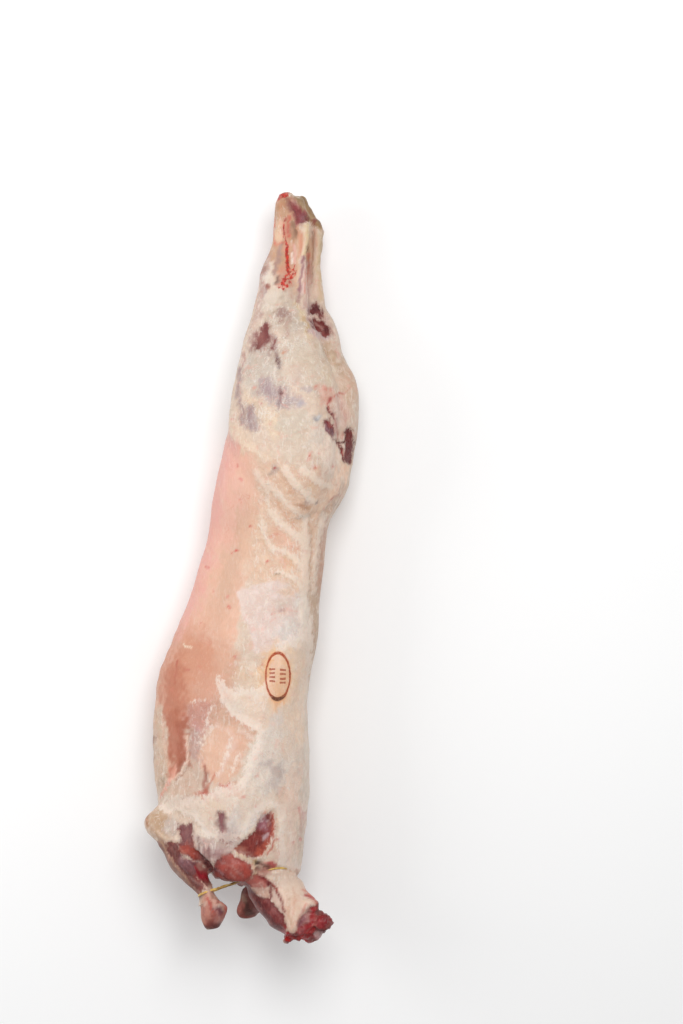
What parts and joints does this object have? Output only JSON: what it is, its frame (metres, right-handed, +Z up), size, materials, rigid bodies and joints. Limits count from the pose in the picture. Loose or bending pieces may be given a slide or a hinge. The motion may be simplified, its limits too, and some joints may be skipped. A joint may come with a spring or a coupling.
{
  "type": "raw lamb carcass",
  "caption": "Whole dressed raw lamb carcass lying on its side, with hocks, knuckles and cut neck, tied with an elastic band.",
  "frame": {"origin": "middle of the carcass's box, on the floor it lies on", "axes": "+Y toward the hocks, +X toward the back, +Z up through the right side, which faces up"},
  "size_m": [0.3428, 1.1978, 0.2117],
  "materials": {
    "flesh": "moist pale fat and membrane over pink and dark red meat",
    "elastic": "satin yellow elastic"
  },
  "bodies": {
    "root": {"carcass": "flesh", "tie_band": "elastic"}
  },
  "joints": []
}
